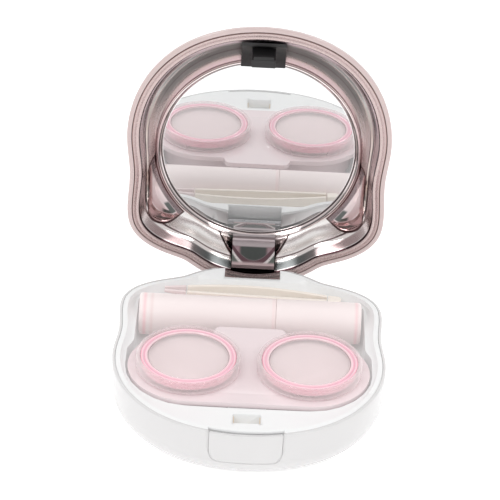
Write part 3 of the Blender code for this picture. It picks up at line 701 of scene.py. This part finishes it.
def lining_painted_light(x, y, share):
    """Painted reflections and shade on the plated lining: pale flange, painted shade in its dark creases,
    bright painted reflections on the lower slopes, a grey painted reflection on the roof. A share runs from
    -1 at the rim through 0 at the flange's inner edge to 1 at the bezel of the glass."""
    painted_light = PaintedLight(len(x), 214, 198, 197)
    low, roof = smooth(18, 27, y), smooth(-4, -18, y)
    middle = (1 - low) * (1 - roof)
    # sides: painted shade in brown creases and a painted highlight in a bright sliver
    painted_light.lay(middle * between(0.02, 0.2, share), 196, 176, 175, dull=0.4)
    painted_light.lay(middle * between(0.22, 0.27, share, 0.015), 92, 76, 76)
    painted_light.lay(middle * between(0.29, 0.36, share, 0.015), 255, 246, 238)
    painted_light.lay(middle * between(0.38, 0.41, share, 0.01), 96, 80, 80)
    painted_light.lay(middle * between(0.42, 0.84, share), 216, 204, 203, dull=0.4)
    painted_light.lay(middle * between(0.86, 0.93, share), 140, 122, 124)
    # roof: painted reflections, mauve against the flange, grey in the middle, paler against the bezel
    painted_light.lay(roof * between(-0.01, 0.3, share, 0.05), 255, 238, 244, dull=1.0)
    painted_light.lay(roof * between(0.3, 0.78, share, 0.08), 157, 156, 155, dull=0.8)
    painted_light.lay(roof * between(0.56, 0.6, share, 0.02), 132, 126, 126, dull=0.5)
    painted_light.lay(roof * between(0.82, 0.95, share, 0.03), 236, 218, 219, dull=0.7)
    # shoulders: a grey painted reflection, a dark painted crease and a pale painted highlight
    shoulder = smooth(-4, -12, y) * (1 - smooth(-26, -32, y))
    painted_light.lay(shoulder * between(0.08, 0.2, share, 0.02), 104, 98, 100)
    painted_light.lay(shoulder * between(0.22, 0.24, share, 0.008), 70, 52, 56)
    painted_light.lay(shoulder * between(0.26, 0.42, share, 0.03), 236, 230, 229)
    # lower slopes: bright painted reflections, a grey painted band, a dark painted crease, a pale painted
    # line, and painted shade along the flange that is darker near the hinge
    painted_light.lay(low * between(-0.01, 1.2, share), 255, 251, 249, dull=0.3)
    painted_light.lay(low * between(0.34, 0.5, share, 0.08), 214, 204, 200, dull=0.3)
    painted_light.lay(low * between(0.25, 0.29, share, 0.012), 122, 100, 100)
    painted_light.lay(low * between(0.19, 0.24, share, 0.01), 238, 228, 226)
    near_hinge = 1 - smooth(13, 24, np.abs(x))
    painted_light.lay(low * between(0.03, 0.18, share, 0.01), 166, 146, 146, dull=0.3)
    painted_light.lay(low * near_hinge * between(0.03, 0.18, share, 0.01), 92, 94, 94, dull=0.3)
    # corner recesses: painted shade on their walls, pale painted reflections on their floors,
    # a dark painted crescent, painted shade near the glass and a dark painted line round their edge
    inside = recess_distance(x, y)
    ring = np.hypot(x, y - MIRROR_Y)
    painted_light.lay(smooth(0.1, -0.1, inside), 186, 158, 157)
    painted_light.lay(smooth(-0.9, -1.1, inside), 240, 226, 227, dull=0.8)
    painted_light.lay(smooth(-0.9, -1.1, inside) * smooth(19, 8, y), 214, 202, 202, dull=0.8)
    crescent = between(-2.3, -1.3, inside, 0.08) * smooth(21.4, 22.2, y) * smooth(27.6, 26.6, np.abs(x))
    painted_light.lay(crescent, 112, 116, 114, dull=0.8)
    painted_light.lay(smooth(-0.1, -0.3, inside) * smooth(31.4, 31.1, ring), 138, 124, 126, dull=0.5)
    painted_light.lay(between(-0.16, 0.16, inside, 0.05), 74, 46, 46)
    # scallop: a pale painted reflection in its bowl, painted shade on its left, a dark painted line round its
    # edge
    inside = scallop_distance(x, y)
    bowl = smooth(0.05, -0.05, inside) * smooth(20, 24, y)
    painted_light.lay(bowl, 250, 238, 235)
    painted_light.lay(bowl * smooth(-1.5, -1.7, inside) * smooth(0, -1, x), 78, 82, 79, dull=0.6)
    painted_light.lay(bowl * smooth(-0.4, -0.6, inside) * smooth(0, 1, x), 214, 203, 203, dull=0.6)
    painted_light.lay(between(-0.22, 0.22, inside, 0.06) * smooth(20, 24, y), 52, 30, 30)
    # bezel of the glass, flange and the creases beside them: painted shade in the creases and in the gap at
    # the glass, a painted highlight on the bezel, the flange's own pale colour and the seam at the rim
    painted_light.lay(between(0.955, 0.985, share, 0.008), 110, 90, 90)
    painted_light.lay(smooth(0.99, 1.0, share), 238, 226, 225)
    painted_light.lay(between(1.105, 1.16, share, 0.012), 10, 7, 8)
    painted_light.lay(smooth(0.03, 0.02, share), 48, 26, 30)
    painted_light.lay(smooth(-0.06, -0.08, share), 194, 176, 174, dull=0.5)
    painted_light.lay(between(-0.47, -0.44, share, 0.012), 170, 150, 148, dull=0.5)
    painted_light.lay(smooth(-0.84, -0.88, share), 158, 132, 129)
    return painted_light


def make_lid_lining():
    """The chrome lining: flange, stepped concave channel, corner recesses, scallop and the glass's bezel."""
    rim, flange_in = plan_outline(-0.02), plan_outline(-FLANGE_IN)
    seat = circle_like(flange_in, MIRROR_Y, SEAT_R)
    cover = np.linalg.norm(plan_outline(0.15) - (0, MIRROR_Y), axis=1)
    flange = ((-1.0, 0.5), (-0.98, 0.12), (-0.92, 0.05), (-0.86, 0.0), (-0.8, 0.0), (-0.5, 0.0),
              (-0.47, 0.03), (-0.44, 0.03), (-0.41, 0.0), (-0.12, 0.0), (-0.07, 0.0), (-0.04, 0.1))
    rows = [(share, level(blend(rim, flange_in, 1 + share), LID_Z + rise)) for share, rise in flange]
    steps = 110
    for step in range(steps + 1):
        share = step / steps
        plan = blend(flange_in, seat, share)
        x, y = plan[:, 0], plan[:, 1]
        depth = np.full(len(plan), 0.12 + (BEZEL_Z - LID_Z) * math.sin(share * math.pi / 2) ** 0.9)
        # a soft moulded step a little below the flange
        depth = depth + 0.5 * smooth(0.16, 0.2, share) * (1 - smooth(0.22, 0.4, share))
        depth = np.maximum(depth, RECESS_DEPTH * smooth(0.0, -0.5, recess_distance(x, y)))
        depth = np.maximum(depth, (RECESS_DEPTH + 1.8) * smooth(0.0, -0.4, scallop_distance(x, y)))
        # never deeper than the cover allows
        here = np.linalg.norm(plan - (0, MIRROR_Y), axis=1)
        part = np.clip((cover - here) / (cover - (CROWN_R - 1.0)), 0.02, 1)
        room = (LID_RISE - 1.6) * np.sin(part * math.pi / 2) - 0.4
        rows.append((share, level(plan, LID_Z + np.minimum(depth, np.maximum(room, 0.12)))))
    bezel = ((1.02, SEAT_R - 0.03, -0.3), (1.05, SEAT_R - 0.15, -0.42), (1.09, 28.85, -0.42),
             (1.13, 28.8, -0.2), (1.2, MIRROR_R + 0.22, 0.3), (1.3, MIRROR_R + 0.2, 2.2))
    rows += [(share, round_loop(radius, BEZEL_Z + rise)) for share, radius, rise in bezel]
    lining = loft('lid_lining', [loop for share, loop in rows], PLATED, caps=False)
    points = np.vstack([loop for share, loop in rows])
    shares = np.repeat([share for share, loop in rows], len(rim))
    return with_painted_light(lining, lining_painted_light(points[:, 0], points[:, 1], shares))


def channel_point(sign, share, lift):
    """A (y, z) point lifted off the channel's slope, at the hinge (sign 1) or at the front (-1)."""
    edge = plan_outline(-FLANGE_IN)
    half = edge[(edge[:, 1] * sign > 20)]
    half = half[np.argsort(half[:, 0])]
    start = float(np.interp(STRAP_HALF, half[:, 0], half[:, 1]))
    end = MIRROR_Y + sign * math.sqrt(SEAT_R ** 2 - STRAP_HALF ** 2)
    angle = share * math.pi / 2
    y = blend(start, end, share) - sign * lift * math.cos(angle)
    return y, LID_Z + (BEZEL_Z - LID_Z) * math.sin(angle) ** 0.9 - lift * math.sin(angle)


def channel_strap(sign, near, far, steps=16):
    """Side view of a plate that follows the slope and ends on the bezel."""
    shares = [0.03 + 0.97 * k / steps for k in range(steps + 1)]
    low = [channel_point(sign, share, far) for share in shares]
    high = [channel_point(sign, share, near) for share in reversed(shares)]
    foot_y = MIRROR_Y + sign * (MIRROR_R - 0.1)
    return low + [(foot_y, BEZEL_Z - far), (foot_y, BEZEL_Z - near)] + high


def hinge_painted_light(x, y, height):
    """Painted reflections and shade on the hinge plate: paler above the scallop's step, dark in its painted
    shadow, mauve at the foot.
    """
    painted_light = PaintedLight(len(x), 190, 179, 181)
    painted_light.dull += 0.7
    arc = y + 0.045 * x ** 2
    shadow = smooth(33.6, 33.8, y) * smooth(35.3, 35.1, arc)
    painted_light.lay(shadow, 84, 87, 85, dull=0.7)
    painted_light.lay(shadow * smooth(3.4, 4.6, np.abs(x)), 168, 140, 146, dull=0.7)
    painted_light.lay(between(35.2, 35.8, arc, 0.06), 104, 78, 84, dull=0.3)
    painted_light.lay(smooth(35.8, 35.9, arc), 226, 218, 216, dull=0.5)
    painted_light.lay(smooth(36.1, 36.3, arc), 108, 113, 108, dull=0.7)
    painted_light.lay(smooth(LID_Z + 2.4, LID_Z + 1.2, height), 205, 182, 183, dull=0.7)
    painted_light.lay(smooth(LID_Z + 0.5, LID_Z, height), 70, 48, 52)
    return painted_light


def make_hinge_arm():
    """The plate across the channel in many narrow strips, its leg and its knuckle."""
    strap = channel_strap(1, 0.45, 1.6, 60)
    strips = np.linspace(0.1 - STRAP_HALF, STRAP_HALF - 0.1, 63)
    arm = loft('hinge_plate', [np.array([(x, y, z) for y, z in strap]) for x in strips], PLATED)
    spots = np.array([tuple(v.co) for v in arm.data.vertices]) / MM
    with_painted_light(arm, hinge_painted_light(spots[:, 0], spots[:, 1], spots[:, 2]))
    root = (strap[0][0], LID_Z + 1.2)
    leg = along_x('hinge_leg', [(36.5, HINGE_Z), (38.2, HINGE_Z), root, (36.0, LID_Z + 2.0)], 6.1, PLATED)
    wall = [(2.5, x) for x in (-7.6, -5.3, -5.0, 5.0, 5.3, 7.6)]
    knuckle = on_hinge('knuckle', [(0, -7.6)] + wall + [(0, 7.6)], 48)
    leg = cut(add(leg, knuckle), rod('bore', BORE_R, 9))
    # painted shade on the knuckle's dark ends, a paler painted reflection on its middle
    painted_light = PaintedLight(len(leg.data.vertices), 66, 44, 50)
    middle = np.array([abs(v.co.x) / MM < 5.1 for v in leg.data.vertices], float)
    painted_light.lay(middle, 186, 164, 166, dull=0.6)
    return arm, with_painted_light(leg, painted_light)


def make_latch_hook():
    plate = along_x('latch_plate', channel_strap(-1, 0.45, 1.5), 6.3, BLACK)
    post = along_x('post', [(-33.9, 10.0), (-31.6, 10.0), (-31.6, 22.0), (-33.9, 18.5)], 3.3)
    barb = along_x('barb', [(-34.6, 10.6), (-33.5, 10.0), (-33.5, 12.2), (-34.6, 11.8)], 2.8)
    return add(plate, post, barb)


def make_glass():
    place = Matrix.Translation((0, MIRROR_Y, LID_Z + MIRROR_DEPTH))
    bevel = 0.35
    edge = [(MIRROR_R - bevel + bevel * math.sin(a), bevel - bevel * math.cos(a))
            for a in np.linspace(0, math.pi / 2, 5)]
    face = [(0, 0), (MIRROR_R - 1.0, 0), (MIRROR_R - 0.4, 0)]
    return turned('mirror_disc', face + edge + [(MIRROR_R, 1.1), (0, 1.1)], MIRROR, 160, place)


dress(open_lid(make_lid_shell()), 'lid', 'pearl_pink', 'lid_shell')
SAMPLES = FINE
dress(open_lid(make_lid_lining()), 'lid', 'rose_chrome', 'lid_inner_panel')
SAMPLES = COARSE
hinge_plate, hinge_leg = make_hinge_arm()
dress(open_lid(hinge_plate), 'lid', 'rose_chrome', 'hinge_arm')
dress(soften(open_lid(hinge_leg), 0.2), 'lid', 'rose_chrome')
dress(soften(open_lid(make_latch_hook()), 0.15), 'lid', 'dark_chrome', 'latch_hook')
dress(open_lid(make_glass()), 'lid', 'mirror_glass', 'mirror_glass')


# ---- lens case ----
CUP_R, CUP_LOW, PLATE_LOW, PLATE_TOP, NECK_R, NECK_TOP = 13.2, 3.7, 12.6, 14.0, 11.8, 15.1
CASE_END_R = 16.6
SKIRT_LOW, CAP_TOP = 14.3, 17.9
DISC_TOP, RING_TOP = 17.25, 17.3


def make_lens_case():
    """A plate with round ends and a tongue at the rear, with two cups through it."""
    half = [(WELL_X + CASE_END_R * math.sin(a), WELL_Y - CASE_END_R * math.cos(a))
            for a in np.linspace(0, math.pi, 65)]
    plate = prism('lens_case', half + [(-x, y) for x, y in reversed(half)], PLATE_LOW, PLATE_TOP, CASE)
    tongue = rounded_polygon([(-12, 0, 1), (12, 0, 1), (9.5, 9.6, 2), (-9.5, 9.6, 2)], 8)
    add(plate, prism('tongue', tongue, PLATE_LOW, PLATE_TOP))
    cup = [(0, CUP_LOW), (CUP_R - 2.5, CUP_LOW), (CUP_R - 0.7, CUP_LOW + 0.7), (CUP_R, CUP_LOW + 2.5),
           (CUP_R, PLATE_LOW + 0.7), (NECK_R, PLATE_LOW + 0.8), (NECK_R, NECK_TOP), (10.6, NECK_TOP),
           (10.6, CUP_LOW + 5.0), (9.6, CUP_LOW + 3.0), (6.0, CUP_LOW + 1.5), (0, CUP_LOW + 1.3)]
    places = [Matrix.Translation((x, WELL_Y, 0)) for x in (-WELL_X, WELL_X)]
    cut(plate, *[turned('opening', [(0, 0), (11.2, 0), (11.2, 30), (0, 30)], None, 96, at) for at in places])
    return add(plate, *[turned('cup', cup, None, 96, at) for at in places])


def make_cap(side, x):
    """The clear screw cap and its pink ring with two fine beads."""
    place = Matrix.Translation((x, WELL_Y, 0))
    inside = NECK_TOP + 1.1
    shell = turned(side + '_lid_cap', [
        (0, inside), (12.3, inside), (12.3, SKIRT_LOW), (CAP_R - 0.2, SKIRT_LOW), (CAP_R, SKIRT_LOW + 0.2),
        (CAP_R, CAP_TOP - 0.8), (CAP_R - 0.05, CAP_TOP - 0.5), (CAP_R - 0.3, CAP_TOP - 0.15), (13.8, CAP_TOP),
        (13.55, CAP_TOP - 0.02), (13.3, CAP_TOP - 0.2), (13.2, CAP_TOP - 0.5),
        # the groove that the ring sits in
        (13.2, 15.0), (12.5, 15.0), (12.5, 16.8), (11.0, 16.8),
        (11.0, 17.1), (10.9, 17.22), (10.7, DISC_TOP), (0, DISC_TOP)], CLEAR, 128, place)
    ring = turned(side + '_lid_ring', [
        (RING_IN, 17.0), (12.6, 17.0), (12.6, 15.1), (RING_OUT, 15.1), (RING_OUT, RING_TOP),
        # outer bead, flat, inner bead
        (12.85, 17.45), (12.7, 17.48), (12.5, 17.42), (12.35, RING_TOP),
        (11.9, RING_TOP), (11.75, 17.42), (11.6, 17.48), (11.35, 17.45), (RING_IN, RING_TOP)],
                  ring_pink(side, x), 128, place)
    dress(shell, side + '_cap', 'clear_plastic', side + '_cap_shell')
    dress(ring, side + '_cap', 'pink_plastic', side + '_cap_ring')


dress(soften(make_lens_case(), 0.25), 'lens_case', 'case_pink', 'lens_case_body')
make_cap('left', -WELL_X)
make_cap('right', WELL_X)


# ---- bottle ----
def bottle_piece(name, profile):
    place = Matrix.Translation((0, BOTTLE_Y, BOTTLE_Z)) @ Matrix.Rotation(math.radians(90), 4, 'Y')
    return turned(name, profile, FROST, 96, place)


def corner(radius_to, x_to, size, start, end):
    """Quarter-round corner in a (radius, x) profile."""
    return [(radius_to + size * math.cos(math.radians(a)), x_to + size * math.sin(math.radians(a)))
            for a in np.linspace(start, end, 5)]


def make_bottle():
    r, wall, left, join = BOTTLE_R, 0.9, BOTTLE_LEFT, BOTTLE_JOIN
    body = bottle_piece('drops_bottle', [(0, left + 0.1), (r - 2.2, left)]
                        + corner(r - 0.8, left + 0.8, 0.8, -90, 0)
                        + corner(r - 0.12, join - 0.12, 0.12, 0, 90)
                        + [(4.2, join), (4.2, join + 6), (3.2, join + 6), (3.2, join - 1),
                           (r - wall, join - 1.6), (r - wall, left + 2.1), (r - 2.2, left + 1.2),
                           (0, left + 1.4)])
    cap = bottle_piece('drops_cap', [(0, BOTTLE_RIGHT), (r - 2.0, BOTTLE_RIGHT)]
                       + corner(r - 0.9, BOTTLE_RIGHT - 0.9, 0.9, 90, 0)
                       + corner(r - 0.12, join + 0.22, 0.12, 0, -90)
                       + [(4.6, join + 0.1), (4.6, join + 8.6), (3.4, join + 10), (3.4, join + 21.5),
                          (0, join + 21.5)])
    dress(body, 'bottle', 'frosted_pink', 'bottle_body')
    dress(cap, 'bottle_cap', 'frosted_pink', 'bottle_cap')


make_bottle()


# ---- tweezers ----
TWEEZER_TIP, TWEEZER_BOW = Vector((-25.0, 27.9)), Vector((25.0, 26.2))
TWEEZER_TOP, ARM_THICK = 13.9, 1.0
TIP_TALL, ARM_TALL = 0.9, 2.9


def tweezer_arm(name, bow, start, end, material, steps):
    """A stretch of a bowed arm, from one share of the chord between tip and bow to another."""
    chord = TWEEZER_BOW - TWEEZER_TIP
    normal = np.array((-chord.y, chord.x)) / chord.length
    loops = []
    for step in range(steps + 1):
        share = blend(start, end, step / steps)
        centre = np.array(TWEEZER_TIP) + np.array(chord) * share
        lean = 1.3 - 0.1 * share if bow > 0 else -0.3
        centre = centre + normal * (bow * math.sin(math.pi * share) + lean)
        taper = min(1.0, share / 0.3)
        half = ARM_THICK / 2 * blend(0.7, 1.0, taper)
        low = TWEEZER_TOP - blend(TIP_TALL, ARM_TALL, taper)
        near, far = centre - normal * half, centre + normal * half
        loops.append(np.array([(*near, low), (*far, low), (*far, TWEEZER_TOP), (*near, TWEEZER_TOP)]))
    return soften(loft(name, loops, material), 0.25)


def make_tweezers():
    sides = (('front', -0.25), ('rear', 3.0))
    for side, bow in sides:
        grip = tweezer_arm('grip_' + side, bow, 0.13, 0.93, IVORY, 48)
        dress(grip, side + '_arm', 'ivory_plastic', f'tweezer_{side}_arm')
    for side, bow in sides:
        pad = tweezer_arm('pad_' + side, bow, 0.0, 0.123, SOFT, 8)
        dress(pad, side + '_arm', 'silicone', f'tweezer_{side}_tip')
    chord = TWEEZER_BOW - TWEEZER_TIP
    at = TWEEZER_TIP + chord * 0.936
    along = chord.normalized()
    across = Vector((-along.y, along.x))
    view = rounded_polygon([(0, -0.8, 0.3), (3.8, -0.6, 1.2), (3.8, 2.0, 1.2), (0, 2.3, 0.4)], 8)
    outline = [at + along * x + across * y for x, y in view]
    heel = soften(prism('grip_heel', outline, TWEEZER_TOP - ARM_TALL, TWEEZER_TOP, IVORY), 0.25)
    dress(heel, 'tweezers', 'ivory_plastic', 'tweezer_block')


make_tweezers()


# ---- latch well and hidden pieces ----
def make_slot_trim():
    """The latch well's pale floor, a raised plate in the tray's glowing white that stands in for a lit well,
    and thin strips of warm painted light on the edges of its two sides.
    """
    floor = block('slot_floor', (-3.6, -35.2, 9.1), (3.6, -30.6, 9.7), TRAY)
    dress(soften(floor, 0.1), 'base', 'tray_white')
    for side, x in (('left', -3.54), ('right', 3.54)):
        edge = block('slot_edge_' + side, (x - 0.1, -35.1, 9.8), (x + 0.1, -30.7, 12.4), CREAM)
        dress(soften(edge, 0.05), 'base', 'tray_white')


make_slot_trim()

# these keep their CAD shape
for node, material in {'button_pusher': PINK, 'button_spring': STEEL, 'hinge_pin': STEEL, 'mirror_pad': FOAM,
                       'left_cap_seal': SOFT, 'right_cap_seal': SOFT, 'bottle_nozzle': SOFT,
                       'bottle_cap_liner': SOFT}.items():
    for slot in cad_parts[node].material_slots:
        slot.material = material


# ---- studio ----
def make_floor():
    """A sheet of paper, in metres, that turns up into a wall behind the part and lies just under it."""
    bm = bmesh.new()
    size, wall, back, bend, under = 2.2, 1.6, 1.4, 0.5, 0.00002
    profile = [(-size, 0.0)]
    profile += [(back - bend + bend * math.sin(a), bend - bend * math.cos(a))
                for a in np.linspace(0, math.pi / 2, 12)]
    profile.append((back, wall))
    rows = [[bm.verts.new((x, y, z - under)) for x in (-size, size)] for y, z in profile]
    for lower, upper in zip(rows, rows[1:]):
        bm.faces.new((lower[0], lower[1], upper[1], upper[0]))
    mesh = bpy.data.meshes.new('floor')
    bm.to_mesh(mesh)
    floor = bpy.data.objects.new('floor', mesh)
    bpy.context.scene.collection.objects.link(floor)
    mesh.shade_smooth()
    paper = surface('paper', (0.93, 0.93, 0.93), 0.8, 0.004)
    shader = paper.node_tree.nodes['Principled BSDF']
    shader.inputs['Emission Color'].default_value = PURE_WHITE
    shader.inputs['Emission Strength'].default_value = 0.35
    mesh.materials.append(paper)


def area_light(name, place, size, watts):
    """A square light that faces the part."""
    data = bpy.data.lights.new(name, 'AREA')
    data.shape = 'RECTANGLE'
    data.size = data.size_y = size
    data.energy = watts
    light = bpy.data.objects.new(name, data)
    bpy.context.scene.collection.objects.link(light)
    light.location = place
    light.rotation_euler = (Vector() - Vector(place)).to_track_quat('-Z', 'Y').to_euler()


def make_world():
    """A soft white surround, a little darker in front of the part than behind it."""
    world = bpy.data.worlds.new('studio')
    bpy.context.scene.world = world
    world.use_nodes = True
    nodes, links = world.node_tree.nodes, world.node_tree.links
    background = nodes['Background']
    where = put(nodes, 'TexCoord')
    split = put(nodes, 'SeparateXYZ')
    links.new(where.outputs['Generated'], split.inputs['Vector'])
    ramp = put(nodes, 'ValToRGB')
    front, rear = ramp.color_ramp.elements
    front.position, front.color = 0.05, (0.8, 0.79, 0.79, 1)
    rear.position, rear.color = 0.5, PURE_WHITE
    shift = put(nodes, 'MapRange', From_Min=-1)
    links.new(split.outputs['Y'], shift.inputs['Value'])
    links.new(shift.outputs['Result'], ramp.inputs['Fac'])
    links.new(ramp.outputs['Color'], background.inputs['Color'])
    background.inputs['Strength'].default_value = 0.95


CAMERA_AT = Vector((-4.8, -606.6, 427.1)) * MM
CAMERA_AZIMUTH, CAMERA_ELEVATION, CAMERA_ROLL = -0.33, 32.15, 3.0
CAMERA_LENS = 190.6


def make_camera():
    """Looks along the direction given by azimuth and elevation, and leans by the roll."""
    azimuth, elevation, roll = (math.radians(v) for v in (CAMERA_AZIMUTH, CAMERA_ELEVATION, CAMERA_ROLL))
    back = Vector((math.sin(azimuth) * math.cos(elevation), -math.cos(azimuth) * math.cos(elevation),
                   math.sin(elevation)))
    level_right = Vector((math.cos(azimuth), math.sin(azimuth), 0))
    level_up = back.cross(level_right)
    right = math.cos(roll) * level_right + math.sin(roll) * level_up
    up = back.cross(right)
    data = bpy.data.cameras.new('camera')
    data.lens = CAMERA_LENS
    data.clip_start = 0.01
    camera = bpy.data.objects.new('camera', data)
    bpy.context.scene.collection.objects.link(camera)
    rotation = Matrix((right, up, back)).transposed()
    camera.matrix_world = Matrix.Translation(CAMERA_AT) @ rotation.to_4x4()
    bpy.context.scene.camera = camera


make_floor()
make_world()
make_camera()
area_light('key', (-0.35, -0.45, 0.6), 0.2, 0.9)
area_light('fill', (0.35, -0.4, 0.55), 0.16, 0.45)
area_light('top', (0, 0.1, 0.9), 0.8, 0.6)
bpy.context.scene.view_settings.view_transform = 'Standard'
